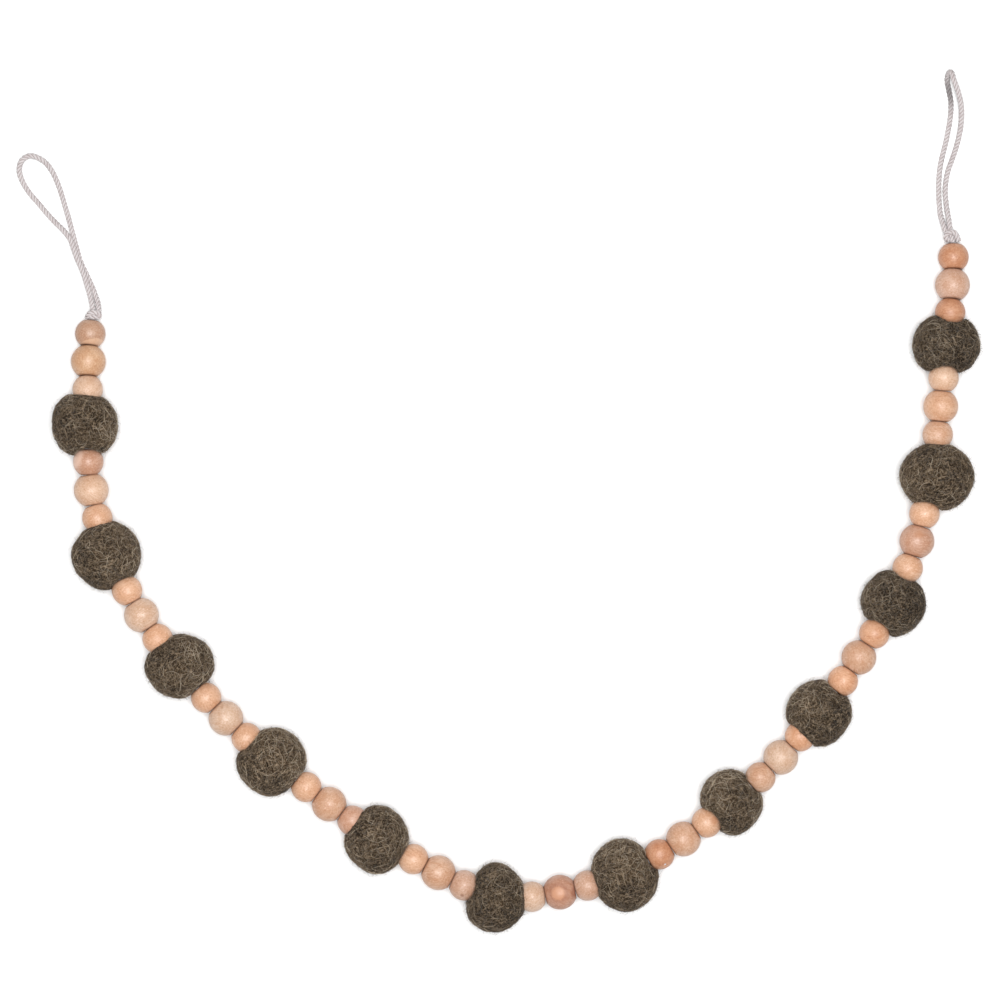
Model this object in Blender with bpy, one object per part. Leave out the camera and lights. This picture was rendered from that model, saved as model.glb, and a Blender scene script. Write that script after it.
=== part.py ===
"""Felt ball garland lying on a flat surface in a U shape.

Twelve wool felt balls and thirty-nine turned wooden beads are threaded on one
twisted cotton cord.  The beads sit in thirteen groups of small, large, small,
with a felt ball between each two groups.  Each end of the cord leaves the last
bead, runs through a knot, opens into a hanging loop and comes back to be
wrapped twice round itself as that knot.

Metres, +Z up, the surface is z = 0.  Lengths below are written in millimetres
and multiplied by MM where the mesh is made.
"""
import math

import bpy
import numpy as np
from mathutils import Matrix
from mathutils import Vector
from mathutils import noise

MM = 0.001

# Cord
CORD_DIAMETER = 2.4
CORD_CLEARANCE = 0.42
BORE_SEGMENT_ALLOWANCE = 0.05
PIECE_GAP = 0.35

# Wooden beads
SMALL_DIAMETER = 14.0
SMALL_PITCH = 12.0
LARGE_DIAMETER = 16.0
LARGE_PITCH = 14.25
BEAD_FLAT_RADIUS = 2.5
BEAD_SHOULDER = 0.4
BEAD_FACE_GAP = 0.7
BEAD_SEGMENTS = 12
BEAD_BULGE_STEPS = 2

# Felt balls
FELT_SEGMENTS = 18
FELT_HALF_POLAR_DEG = (14.0, 24.0, 33.0, 50.0, 70.0, 90.0)
FELT_BEAD_CLEARANCE = 0.84
FELT_CENTRE_HEIGHT = 14.1
FELT_LUMP = 0.35
FELT_LUMP_SIZE = 11.0

# Loops and knots
LOOP_START = 0.7
LOOP_SPACING = 2.6
KNOT_RADIUS = 2.8
KNOT_TUBE_DIAMETER = 2.2
KNOT_PITCH = 2.55
KNOT_POINTS_PER_TURN = 14

# The string's route through the garland, left end to right end: a felt ball's
# middle or a large bead's middle at each row.
ROUTE = (
    ("left end", -195.8, 122.5, 6.3),
    ("bead 2", -197.0, 103.5, 9.3),
    ("felt 1", -196.6, 74.0, 14.0),
    ("bead 5", -195.4, 44.0, 12.9),
    ("felt 2", -186.4, 14.8, 14.2),
    ("bead 8", -172.6, -12.6, 12.9),
    ("felt 3", -154.2, -37.0, 14.2),
    ("bead 11", -133.6, -60.4, 12.9),
    ("felt 4", -110.6, -80.6, 14.2),
    ("bead 14", -86.2, -99.8, 12.9),
    ("felt 5", -61.0, -116.8, 14.2),
    ("bead 17", -34.8, -132.0, 12.9),
    ("felt 6", -8.0, -142.8, 14.2),
    ("bead 20", 21.0, -140.6, 12.9),
    ("felt 7", 50.0, -131.6, 14.2),
    ("bead 23", 76.8, -116.6, 12.9),
    ("felt 8", 100.4, -98.4, 14.2),
    ("bead 26", 122.2, -78.6, 12.9),
    ("felt 9", 140.8, -56.6, 14.2),
    ("bead 29", 158.0, -32.6, 12.9),
    ("felt 10", 173.6, -6.8, 14.2),
    ("bead 32", 184.8, 20.8, 12.9),
    ("felt 11", 191.6, 51.0, 14.2),
    ("bead 35", 195.6, 82.6, 12.9),
    ("felt 12", 198.2, 110.6, 14.0),
    ("bead 38", 201.6, 138.6, 9.3),
    ("right end", 202.4, 158.5, 6.4),
)

# One row per felt ball.  "link" is the string length between the two beads that
# press on it, x and y the middle of the lump, "top" its height above the
# surface, and the rest how far it reaches in eight compass directions (east is
# +X, north is +Y).
FELT_COLUMNS = (
    "link", "x", "y", "top",
    "east", "north_east", "north", "north_west",
    "west", "south_west", "south", "south_east",
)
FELT_ROWS = (
    (21.5, -198.0, 74.3, 29.0, 15.2, 14.9, 14.4, 15.8, 14.7, 15.2, 14.6, 15.4),
    (24.2, -187.9, 14.1, 29.6, 15.5, 16.0, 16.2, 15.5, 15.8, 15.3, 15.8, 15.4),
    (23.2, -154.5, -36.8, 29.2, 15.9, 15.6, 14.9, 14.6, 16.1, 14.7, 14.7, 14.0),
    (23.6, -112.1, -80.4, 29.8, 15.9, 15.5, 15.5, 14.2, 16.1, 15.4, 15.8, 14.4),
    (21.2, -63.8, -116.4, 28.8, 14.7, 15.0, 15.6, 14.4, 14.9, 14.7, 15.5, 14.6),
    (20.1, -8.9, -142.8, 29.2, 14.2, 13.8, 15.8, 13.8, 13.6, 15.9, 15.8, 14.7),
    (24.1, 50.4, -132.9, 30.4, 15.5, 14.6, 16.7, 16.6, 15.5, 15.4, 16.4, 15.8),
    (20.3, 99.2, -99.2, 28.6, 14.1, 13.8, 15.0, 15.0, 14.0, 13.2, 15.2, 14.4),
    (20.2, 139.7, -58.1, 28.8, 14.6, 14.6, 15.0, 14.7, 15.2, 13.8, 15.5, 14.4),
    (21.8, 173.9, -7.5, 29.2, 14.5, 14.2, 15.2, 14.9, 15.0, 13.8, 15.2, 14.6),
    (24.9, 193.8, 50.2, 30.0, 16.8, 16.2, 16.0, 16.6, 17.0, 16.0, 15.2, 16.0),
    (18.5, 197.8, 111.6, 28.4, 15.5, 14.8, 13.8, 14.6, 14.9, 15.2, 13.8, 15.4),
)

# One row per knot.  "heading" turns it from the string's line (degrees, to the
# left), "standoff" is the extra room before it, "turns" and "start" are the wraps
# and the angle round the string where they begin, "tail" the cut end's length.
KNOT_COLUMNS = ("heading", "standoff", "turns", "start", "tail")
KNOT_ROWS = {
    "left": (0.0, 0.0, 1.35, -20.0, 0.0),
    "right": (13.0, 0.9, 1.45, 128.0, 2.6),
}

# The hanging loops, from the string's end round the tip and back to the knot.
LEFT_LOOP = (
    (-196.6, 134.2, 4.6),
    (-198.3, 139.8, 4.1),
    (-200.0, 145.2, 4.0),
    (-202.6, 151.2, 4.0),
    (-204.3, 156.0, 4.0),
    (-206.0, 160.6, 3.8),
    (-209.2, 164.6, 3.0),
    (-213.4, 168.7, 1.9),
    (-217.3, 172.9, 1.4),
    (-221.2, 177.5, 1.3),
    (-225.2, 182.2, 1.6),
    (-228.3, 187.4, 2.4),
    (-229.6, 192.2, 3.4),
    (-228.4, 196.6, 4.2),
    (-224.9, 198.9, 4.5),
    (-220.4, 197.9, 4.0),
    (-216.6, 195.0, 3.0),
    (-213.7, 190.4, 2.0),
    (-211.3, 184.6, 1.4),
    (-209.5, 178.8, 1.3),
    (-207.7, 172.8, 1.3),
    (-206.0, 166.6, 1.3),
    (-204.5, 161.0, 1.3),
    (-203.0, 155.6, 1.3),
    (-201.4, 150.2, 1.3),
    (-199.0, 145.0, 1.3),
    (-196.7, 140.0, 1.3),
    (-194.7, 135.2, 1.6),
    (-193.4, 131.6, 2.6),
    (-192.9, 129.3, 3.6),
)
RIGHT_LOOP = (
    (200.4, 170.2, 4.0),
    (199.7, 176.0, 2.0),
    (199.2, 184.0, 1.3),
    (200.4, 191.8, 1.3),
    (202.7, 198.4, 1.3),
    (204.9, 205.4, 1.6),
    (206.0, 211.2, 2.4),
    (206.4, 216.6, 3.7),
    (206.1, 221.4, 5.3),
    (205.2, 225.6, 6.7),
    (203.8, 229.8, 7.9),
    (202.2, 234.0, 8.2),
    (201.7, 236.6, 7.1),
    (201.0, 237.7, 4.8),
    (200.3, 236.6, 2.5),
    (200.1, 233.6, 1.4),
    (201.0, 229.2, 1.3),
    (201.9, 223.8, 1.3),
    (201.6, 217.4, 1.3),
    (200.7, 211.6, 1.3),
    (199.5, 205.6, 1.3),
    (198.0, 199.6, 1.3),
    (196.9, 194.4, 1.3),
    (196.3, 188.6, 1.3),
    (196.2, 182.8, 1.3),
    (196.4, 177.2, 1.5),
    (196.8, 172.2, 2.5),
    (197.5, 168.8, 4.1),
    (198.0, 167.0, 5.2),
)

# Colours (sRGB, 0 to 255) and the tone of each bead from the left end.
FELT_COLOUR = (88, 77, 62)
CORD_COLOUR = (232, 224, 214)
WOOD_TONES = {
    "tan": (208, 163, 130),
    "honey": (219, 176, 130),
    "cream": (234, 203, 172),
    "rosy": (214, 166, 143),
    "brown": (188, 134, 106),
    "peach": (230, 182, 150),
    "orange": (224, 163, 122),
    "beige": (221, 187, 164),
}
BEAD_TONES = (
    "tan", "honey", "cream",
    "rosy", "tan", "peach",
    "rosy", "beige", "peach",
    "orange", "cream", "peach",
    "peach", "tan", "rosy",
    "peach", "tan", "rosy",
    "beige", "brown", "beige",
    "orange", "tan", "peach",
    "tan", "rosy", "orange",
    "peach", "rosy", "orange",
    "rosy", "brown", "peach",
    "rosy", "honey", "cream",
    "orange", "beige", "tan",
)


def clear_scene():
    """Remove whatever the empty file holds."""
    for old in list(bpy.data.objects):
        bpy.data.objects.remove(old, do_unlink=True)


def linear(channel):
    """One sRGB channel, 0 to 255, as linear light."""
    value = channel / 255.0
    if value <= 0.04045:
        return value / 12.92
    return ((value + 0.055) / 1.055) ** 2.4


def make_material(name, colour, roughness):
    """A plain Principled material."""
    material = bpy.data.materials.new(name)
    material.use_nodes = True
    shader = material.node_tree.nodes["Principled BSDF"]
    rgba = [linear(channel) for channel in colour] + [1.0]
    shader.inputs["Base Color"].default_value = rgba
    shader.inputs["Roughness"].default_value = roughness
    shader.inputs["Metallic"].default_value = 0.0
    material.diffuse_color = rgba
    return material


def add_mesh(name, points, faces, material):
    """A mesh object from points in millimetres."""
    mesh = bpy.data.meshes.new(name)
    scaled = [tuple(coordinate * MM for coordinate in point) for point in points]
    mesh.from_pydata(scaled, [], faces)
    mesh.materials.append(material)
    mesh.update()
    thing = bpy.data.objects.new(name, mesh)
    bpy.context.collection.objects.link(thing)
    return thing


def add_tube(name, points, diameter, material):
    """A round cord as a bevelled curve with filled ends."""
    curve = bpy.data.curves.new(name, "CURVE")
    curve.dimensions = "3D"
    curve.bevel_depth = diameter / 2.0 * MM
    curve.bevel_resolution = 2
    curve.use_fill_caps = True
    spline = curve.splines.new("POLY")
    spline.points.add(len(points) - 1)
    for slot, point in zip(spline.points, points):
        slot.co = (point[0] * MM, point[1] * MM, point[2] * MM, 1.0)
    curve.materials.append(material)
    thing = bpy.data.objects.new(name, curve)
    bpy.context.collection.objects.link(thing)
    return thing


def smooth_through(points, steps):
    """A Catmull-Rom curve through the points, with this many steps a span."""
    knots = [Vector(point) for point in points]
    first = knots[0] * 2.0 - knots[1]
    last = knots[-1] * 2.0 - knots[-2]
    padded = [first] + knots + [last]
    result = []
    for index in range(1, len(padded) - 2):
        before = padded[index - 1]
        start = padded[index]
        end = padded[index + 1]
        after = padded[index + 2]
        for step in range(steps):
            t = step / steps
            bend = 2.0 * before - 5.0 * start + 4.0 * end - after
            twist = 3.0 * start - before - 3.0 * end + after
            result.append(0.5 * (2.0 * start + (end - before) * t + bend * t * t + twist * t ** 3))
    result.append(knots[-1])
    return result


def even_points(points, spacing):
    """Points along a polyline at about this spacing, both ends kept."""
    distances = [0.0]
    for here, there in zip(points, points[1:]):
        distances.append(distances[-1] + (there - here).length)
    count = max(2, round(distances[-1] / spacing))
    stations = [distances[-1] * index / count for index in range(count + 1)]
    axes = [np.interp(stations, distances, [point[axis] for point in points]) for axis in range(3)]
    return [Vector(triple) for triple in zip(*axes)]


def chain_joints(curve, lengths):
    """Walk along the curve in straight links of the given lengths."""
    joints = [curve[0]]
    segment = 0
    for length in lengths:
        here = joints[-1]
        while segment < len(curve) - 2 and (curve[segment + 1] - here).length < length:
            segment += 1
        near = curve[segment]
        far = curve[segment + 1]
        low, high = 0.0, 1.0
        if (far - here).length < length:
            high = 4.0
        for _ in range(40):
            middle = (low + high) / 2.0
            if (near.lerp(far, middle) - here).length < length:
                low = middle
            else:
                high = middle
        joints.append(near.lerp(far, high))
    return joints


def axis_frame(direction):
    """Two directions square to this one: sideways along the surface, and up."""
    forward = direction.normalized()
    side = forward.cross(Vector((0.0, 0.0, 1.0))).normalized()
    up = side.cross(forward).normalized()
    return forward, side, up


def bore_radius():
    """Hole radius that clears the cord at the middle of each facet."""
    return CORD_DIAMETER / 2.0 + CORD_CLEARANCE


def ring_faces(rings, segments):
    """Quads that join a closed loop of rings into a ring-shaped solid."""
    faces = []
    for row in range(rings):
        following = (row + 1) % rings
        for column in range(segments):
            right = (column + 1) % segments
            faces.append((
                row * segments + column,
                row * segments + right,
                following * segments + right,
                following * segments + column,
            ))
    return faces


def bead_profile(diameter, pitch):
    """(along, radius) pairs of a turned bead's section, forward end first.

    A ball cut flat at both ends, with the cut edge eased down to a smaller flat.
    """
    half = (pitch - BEAD_FACE_GAP) / 2.0
    radius = diameter / 2.0
    shoulder = math.asin((half - BEAD_SHOULDER) / radius)
    outline = [(half, bore_radius()), (half, BEAD_FLAT_RADIUS)]
    for step in range(BEAD_BULGE_STEPS, -BEAD_BULGE_STEPS - 1, -1):
        angle = shoulder * step / BEAD_BULGE_STEPS
        outline.append((radius * math.sin(angle), radius * math.cos(angle)))
    outline += [(-half, BEAD_FLAT_RADIUS), (-half, bore_radius())]
    return outline


def add_bead(name, start, end, profile, material):
    """A turned wooden bead with its hole along the string."""
    middle = (start + end) / 2.0
    forward, side, up = axis_frame(end - start)
    points = []
    for along, radius in profile:
        for segment in range(BEAD_SEGMENTS):
            angle = 2.0 * math.pi * segment / BEAD_SEGMENTS
            across = side * math.cos(angle) + up * math.sin(angle)
            points.append(middle + forward * along + across * radius)
    faces = ring_faces(len(profile), BEAD_SEGMENTS)
    return add_mesh(name, points, faces, material)


def felt_outline(row, azimuth):
    """How far the lump reaches sideways at this compass angle, smoothed."""
    reaches = row[4:]
    place = (azimuth / (2.0 * math.pi) * 8.0) % 8.0
    index = int(place)
    t = place - index
    before = reaches[(index - 1) % 8]
    start = reaches[index % 8]
    end = reaches[(index + 1) % 8]
    after = reaches[(index + 2) % 8]
    bend = 2.0 * before - 5.0 * start + 4.0 * end - after
    twist = 3.0 * start - before - 3.0 * end + after
    return 0.5 * (2.0 * start + (end - before) * t + bend * t * t + twist * t ** 3)


def inside_lump(row, point):
    """Below one inside the felt lump, above one outside it."""
    table = dict(zip(FELT_COLUMNS, row))
    offset = point - Vector((table["x"], table["y"], FELT_CENTRE_HEIGHT))
    reach = felt_outline(row, math.atan2(offset.y, offset.x))
    reach += FELT_LUMP * noise.noise(point / FELT_LUMP_SIZE)
    height = table["top"] - FELT_CENTRE_HEIGHT
    flat = math.hypot(offset.x, offset.y)
    return (flat / reach) ** 2 + (offset.z / height) ** 2


def lump_distance(row, origin, direction):
    """How far a ray from inside the lump goes before it leaves."""
    low, high = 0.0, 30.0
    for _ in range(30):
        middle = (low + high) / 2.0
        if inside_lump(row, origin + direction * middle) < 1.0:
            low = middle
        else:
            high = middle
    return high


def sphere_distance(origin, direction, centre, radius):
    """How far a ray goes before it meets a ball, or a long way if it misses."""
    offset = centre - origin
    along = offset.dot(direction)
    square = along * along - offset.length_squared + radius * radius
    if square <= 0.0 or along <= 0.0:
        return 1.0e6
    return along - math.sqrt(square)


def add_felt_ball(name, start, end, row, neighbours, material):
    """A felt lump with a straight hole, dimpled by the beads at both ends."""
    middle = (start + end) / 2.0
    forward, side, up = axis_frame(end - start)
    keep_off = SMALL_DIAMETER / 2.0 + FELT_BEAD_CLEARANCE

    def reach(direction):
        distance = lump_distance(row, middle, direction)
        for centre in neighbours:
            distance = min(distance, sphere_distance(middle, direction, centre, keep_off))
        if direction.z < 0.0:
            distance = min(distance, middle.z / -direction.z)
        return distance

    # Rows of points from the forward hole's rim, over the lump, to the other rim.
    hole = bore_radius() + BORE_SEGMENT_ALLOWANCE
    front = FELT_HALF_POLAR_DEG
    back = tuple(180.0 - degrees for degrees in reversed(front[:-1]))
    points = []
    for degrees in (0.0,) + front + back + (180.0,):
        polar = math.radians(degrees)
        for segment in range(FELT_SEGMENTS):
            turn = 2.0 * math.pi * segment / FELT_SEGMENTS - math.pi / 2.0
            across = side * math.cos(turn) + up * math.sin(turn)
            direction = forward * math.cos(polar) + across * math.sin(polar)
            point = middle + direction * reach(direction)
            if degrees in (0.0, 180.0):
                point += across * hole
            points.append(point)
    faces = ring_faces(len(points) // FELT_SEGMENTS, FELT_SEGMENTS)
    return add_mesh(name, points, faces, material)


def add_knot(name, centre, direction, row, material):
    """Wraps of cord round the string, with the cut end left sticking out."""
    forward, side, up = axis_frame(direction)
    sweep = 2.0 * math.pi * row["turns"]
    count = round(KNOT_POINTS_PER_TURN * row["turns"])
    points = []
    for index in range(count + 1):
        share = index / count
        angle = math.radians(row["start"]) + sweep * share
        along = (0.5 - share) * KNOT_PITCH * row["turns"]
        across = side * math.cos(angle) + up * math.sin(angle)
        points.append(centre + forward * along + across * KNOT_RADIUS)
    if row["tail"] > 0.0:
        leaving = (points[-1] - points[-2]).normalized()
        points.append(points[-1] + leaving * row["tail"])
    return add_tube(name, points, KNOT_TUBE_DIAMETER, material)


clear_scene()

felt_material = make_material("felt_wool", FELT_COLOUR, 0.95)
cord_material = make_material("cotton_cord", CORD_COLOUR, 0.9)
wood_materials = {}
for tone, colour in WOOD_TONES.items():
    wood_materials[tone] = make_material("wood_" + tone, colour, 0.55)

# The chain of straight links: small, large, small, felt, small, large, small ...
kinds = []
for group in range(len(FELT_ROWS) + 1):
    kinds += ["small", "large", "small"]
    if group < len(FELT_ROWS):
        kinds.append("felt")
felt_links = iter(row[0] for row in FELT_ROWS)
lengths = []
for kind in kinds:
    if kind == "small":
        lengths.append(SMALL_PITCH)
    elif kind == "large":
        lengths.append(LARGE_PITCH)
    else:
        lengths.append(next(felt_links))

string_curve = smooth_through([row[1:] for row in ROUTE], 24)
joints = chain_joints(string_curve, lengths)

# Beads and felt balls, one on each link.
small_profile = bead_profile(SMALL_DIAMETER, SMALL_PITCH)
large_profile = bead_profile(LARGE_DIAMETER, LARGE_PITCH)
bead_count = 0
felt_count = 0
for link, kind in enumerate(kinds):
    start = joints[link]
    end = joints[link + 1]
    if kind == "felt":
        before = (joints[link - 1] + start) / 2.0
        after = (end + joints[link + 2]) / 2.0
        felt_row = FELT_ROWS[felt_count]
        felt_count += 1
        felt_name = "felt_ball_%02d" % felt_count
        add_felt_ball(felt_name, start, end, felt_row, (before, after), felt_material)
    else:
        bead_material = wood_materials[BEAD_TONES[bead_count]]
        bead_count += 1
        profile = small_profile if kind == "small" else large_profile
        add_bead("bead_%02d" % bead_count, start, end, profile, bead_material)

# Knots against the end beads.  Each loop starts at the end of the string, runs
# through its knot and comes back to where the knot's wraps begin.
for side_name, end_point, inner_point, loop in (
    ("left", joints[0], joints[1], LEFT_LOOP),
    ("right", joints[-1], joints[-2], RIGHT_LOOP),
):
    row = dict(zip(KNOT_COLUMNS, KNOT_ROWS[side_name]))
    turn = Matrix.Rotation(math.radians(row["heading"]), 3, "Z")
    way = turn @ (end_point - inner_point).normalized()
    half_knot = (KNOT_PITCH * row["turns"] + KNOT_TUBE_DIAMETER) / 2.0
    centre = end_point + way * (PIECE_GAP + row["standoff"] + half_knot)
    add_knot("knot_" + side_name, centre, way, row, cord_material)
    through = centre + way * (half_knot + PIECE_GAP)
    loop_curve = [end_point + way * LOOP_START] + smooth_through([through] + list(loop), 12)
    loop_points = even_points(loop_curve, LOOP_SPACING)
    add_tube("loop_" + side_name, loop_points, CORD_DIAMETER, cord_material)

# The string runs straight inside every link.
string_points = []
for link, kind in enumerate(kinds):
    string_points.append(joints[link])
    if kind == "felt":
        string_points.append((joints[link] + joints[link + 1]) / 2.0)
string_points.append(joints[-1])
add_tube("string_cord", string_points, CORD_DIAMETER, cord_material)
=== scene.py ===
"""Looks of the felt ball garland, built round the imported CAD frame."""
import math

import bpy
import numpy as np
from mathutils import Matrix, Vector, noise
from mathutils.bvhtree import BVHTree


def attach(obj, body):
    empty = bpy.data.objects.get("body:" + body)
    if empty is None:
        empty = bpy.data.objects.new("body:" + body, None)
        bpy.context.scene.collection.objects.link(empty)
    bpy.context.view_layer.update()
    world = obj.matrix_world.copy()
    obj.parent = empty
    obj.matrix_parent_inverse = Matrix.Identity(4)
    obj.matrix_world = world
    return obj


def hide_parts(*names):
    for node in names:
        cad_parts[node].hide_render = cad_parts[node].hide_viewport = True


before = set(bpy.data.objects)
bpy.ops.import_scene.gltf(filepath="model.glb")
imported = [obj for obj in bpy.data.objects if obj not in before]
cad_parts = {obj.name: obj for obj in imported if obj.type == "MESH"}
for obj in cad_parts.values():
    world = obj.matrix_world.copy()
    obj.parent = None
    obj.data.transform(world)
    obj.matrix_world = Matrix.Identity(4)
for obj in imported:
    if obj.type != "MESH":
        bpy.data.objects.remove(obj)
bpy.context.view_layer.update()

MM = 0.001
random = np.random.default_rng(20)

# ---------------------------------------------------------------- camera
VIEW_CENTRE = (-7.1, 39.8)
VIEW_WIDTH = 460.0
VIEW_PLANE = 13.0
CAMERA_DISTANCE = 1600.0
SENSOR = 36.0
NEAREST_SEEN = 0.05
FARTHEST_SEEN = 20.0

camera_data = bpy.data.cameras.new("camera")
camera_data.sensor_width = SENSOR
camera_data.lens = SENSOR * CAMERA_DISTANCE / VIEW_WIDTH
camera_data.clip_start = NEAREST_SEEN
camera_data.clip_end = FARTHEST_SEEN
camera = bpy.data.objects.new("camera", camera_data)
camera.location = Vector((*VIEW_CENTRE, VIEW_PLANE + CAMERA_DISTANCE)) * MM
bpy.context.scene.collection.objects.link(camera)
bpy.context.scene.camera = camera

# ---------------------------------------------------------------- the string's route, as in the CAD
SMALL_DIAMETER = 14.0
SMALL_PITCH = 12.0
LARGE_DIAMETER = 16.0
LARGE_PITCH = 14.25
PIECE_GAP = 0.35
LOOP_START = 0.7
KNOT_TUBE_DIAMETER = 2.2
KNOT_PITCH = 2.55

ROUTE = (
    (-195.8, 122.5, 6.3),
    (-197.0, 103.5, 9.3),
    (-196.6, 74.0, 14.0),
    (-195.4, 44.0, 12.9),
    (-186.4, 14.8, 14.2),
    (-172.6, -12.6, 12.9),
    (-154.2, -37.0, 14.2),
    (-133.6, -60.4, 12.9),
    (-110.6, -80.6, 14.2),
    (-86.2, -99.8, 12.9),
    (-61.0, -116.8, 14.2),
    (-34.8, -132.0, 12.9),
    (-8.0, -142.8, 14.2),
    (21.0, -140.6, 12.9),
    (50.0, -131.6, 14.2),
    (76.8, -116.6, 12.9),
    (100.4, -98.4, 14.2),
    (122.2, -78.6, 12.9),
    (140.8, -56.6, 14.2),
    (158.0, -32.6, 12.9),
    (173.6, -6.8, 14.2),
    (184.8, 20.8, 12.9),
    (191.6, 51.0, 14.2),
    (195.6, 82.6, 12.9),
    (198.2, 110.6, 14.0),
    (201.6, 138.6, 9.3),
    (202.4, 158.5, 6.4),
)
# How much of the string each felt ball takes up, from the left.
FELT_LINKS = (21.5, 24.2, 23.2, 23.6, 21.2, 20.1, 24.1, 20.3, 20.2, 21.8, 24.9, 18.5)

LEFT_LOOP = (
    (-196.6, 134.2, 4.6), (-198.3, 139.8, 4.1), (-200.0, 145.2, 4.0), (-202.6, 151.2, 4.0),
    (-204.3, 156.0, 4.0), (-206.0, 160.6, 3.8), (-209.2, 164.6, 3.0), (-213.4, 168.7, 1.9),
    (-217.3, 172.9, 1.4), (-221.2, 177.5, 1.3), (-225.2, 182.2, 1.6), (-228.3, 187.4, 2.4),
    (-229.6, 192.2, 3.4), (-228.4, 196.6, 4.2), (-224.9, 198.9, 4.5), (-220.4, 197.9, 4.0),
    (-216.6, 195.0, 3.0), (-213.7, 190.4, 2.0), (-211.3, 184.6, 1.4), (-209.5, 178.8, 1.3),
    (-207.7, 172.8, 1.3), (-206.0, 166.6, 1.3), (-204.5, 161.0, 1.3), (-203.0, 155.6, 1.3),
    (-201.4, 150.2, 1.3), (-199.0, 145.0, 1.3), (-196.7, 140.0, 1.3), (-194.7, 135.2, 1.6),
    (-193.4, 131.6, 2.6), (-192.9, 129.3, 3.6),
)
RIGHT_LOOP = (
    (200.4, 170.2, 4.0), (199.7, 176.0, 2.0), (199.2, 184.0, 1.3), (200.4, 191.8, 1.3),
    (202.7, 198.4, 1.3), (204.9, 205.4, 1.6), (206.0, 211.2, 2.4), (206.4, 216.6, 3.7),
    (206.1, 221.4, 5.3), (205.2, 225.6, 6.7), (203.8, 229.8, 7.9), (202.2, 234.0, 8.2),
    (201.7, 236.6, 7.1), (201.0, 237.7, 4.8), (200.3, 236.6, 2.5), (200.1, 233.6, 1.4),
    (201.0, 229.2, 1.3), (201.9, 223.8, 1.3), (201.6, 217.4, 1.3), (200.7, 211.6, 1.3),
    (199.5, 205.6, 1.3), (198.0, 199.6, 1.3), (196.9, 194.4, 1.3), (196.3, 188.6, 1.3),
    (196.2, 182.8, 1.3), (196.4, 177.2, 1.5), (196.8, 172.2, 2.5), (197.5, 168.8, 4.1),
    (198.0, 167.0, 5.2),
)
# Each knot: its heading in degrees, how far it stands off the bead, its turns of cord, and
# how many points of its loose tail come apart.
KNOTS = {"left": (0.0, 0.0, 1.35, 0), "right": (13.0, 0.9, 1.45, 5)}
ROUTE_STEPS = 24
LOOP_STEPS = 12


def catmull_rom(before, start, end, after, t):
    """The point a share t of the way from start to end, on a curve through all four."""
    bend = 2.0 * before - 5.0 * start + 4.0 * end - after
    twist = 3.0 * start - before - 3.0 * end + after
    return 0.5 * (2.0 * start + (end - before) * t + bend * t * t + twist * t ** 3)


def smooth_through(points, steps):
    """A Catmull-Rom curve through the points, with this many steps a span."""
    knots = [Vector(point) for point in points]
    padded = [knots[0] * 2.0 - knots[1]] + knots + [knots[-1] * 2.0 - knots[-2]]
    result = []
    for before, start, end, after in zip(padded, padded[1:], padded[2:], padded[3:]):
        for step in range(steps):
            result.append(catmull_rom(before, start, end, after, step / steps))
    result.append(knots[-1])
    return result


def even_points(points, spacing):
    """Points along a polyline at about this spacing, both ends kept, as an array."""
    line = np.array([tuple(point) for point in points])
    steps = np.linalg.norm(np.diff(line, axis=0), axis=1)
    distances = np.concatenate([[0.0], np.cumsum(steps)])
    count = max(2, round(distances[-1] / spacing))
    stations = np.linspace(0.0, distances[-1], count + 1)
    return np.stack([np.interp(stations, distances, line[:, axis]) for axis in range(3)], axis=1)


def chain_joints(curve, lengths):
    """Walk along the curve in straight links of the given lengths."""
    joints = [curve[0]]
    segment = 0
    for length in lengths:
        here = joints[-1]
        while segment < len(curve) - 2 and (curve[segment + 1] - here).length < length:
            segment += 1
        near, far = curve[segment], curve[segment + 1]
        low, high = 0.0, 1.0 if (far - here).length >= length else 4.0
        for _ in range(40):
            middle = (low + high) / 2.0
            if (near.lerp(far, middle) - here).length < length:
                low = middle
            else:
                high = middle
        joints.append(near.lerp(far, high))
    return joints


def axis_frame(direction):
    """Two directions square to this one: sideways along the surface, and up."""
    forward = direction.normalized()
    side = forward.cross(Vector((0.0, 0.0, 1.0))).normalized()
    up = side.cross(forward).normalized()
    return forward, side, up


kinds = []
for group in range(len(FELT_LINKS) + 1):
    kinds += ["small", "large", "small"]
    if group < len(FELT_LINKS):
        kinds.append("felt")
felt_links = iter(FELT_LINKS)
link_lengths = {"small": SMALL_PITCH, "large": LARGE_PITCH}
lengths = [link_lengths[kind] if kind in link_lengths else next(felt_links) for kind in kinds]
joints = chain_joints(smooth_through(ROUTE, ROUTE_STEPS), lengths)


# ---------------------------------------------------------------- mesh helpers
def linear(colour):
    """An sRGB colour, 0 to 255, as linear RGBA."""
    values = []
    for channel in colour:
        value = channel / 255.0
        values.append(value / 12.92 if value <= 0.04045 else ((value + 0.055) / 1.055) ** 2.4)
    return values + [1.0]


def link_object(name, mesh):
    """Finish a mesh and put an object of it in the scene."""
    mesh.update(calc_edges=True)
    thing = bpy.data.objects.new(name, mesh)
    bpy.context.scene.collection.objects.link(thing)
    return thing


def add_mesh(name, points, faces, material):
    """A smooth mesh object from points in metres and faces."""
    mesh = bpy.data.meshes.new(name)
    mesh.from_pydata(np.asarray(points, float).tolist(), [], faces)
    mesh.materials.append(material)
    mesh.polygons.foreach_set("use_smooth", [True] * len(mesh.polygons))
    return link_object(name, mesh)


def add_attribute(mesh, name, values):
    """Give each vertex of the mesh a number or a vector under this name."""
    values = np.asarray(values, np.float32)
    kind, field = ("FLOAT", "value") if values.ndim == 1 else ("FLOAT_VECTOR", "vector")
    mesh.attributes.new(name, kind, "POINT").data.foreach_set(field, values.ravel())


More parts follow.
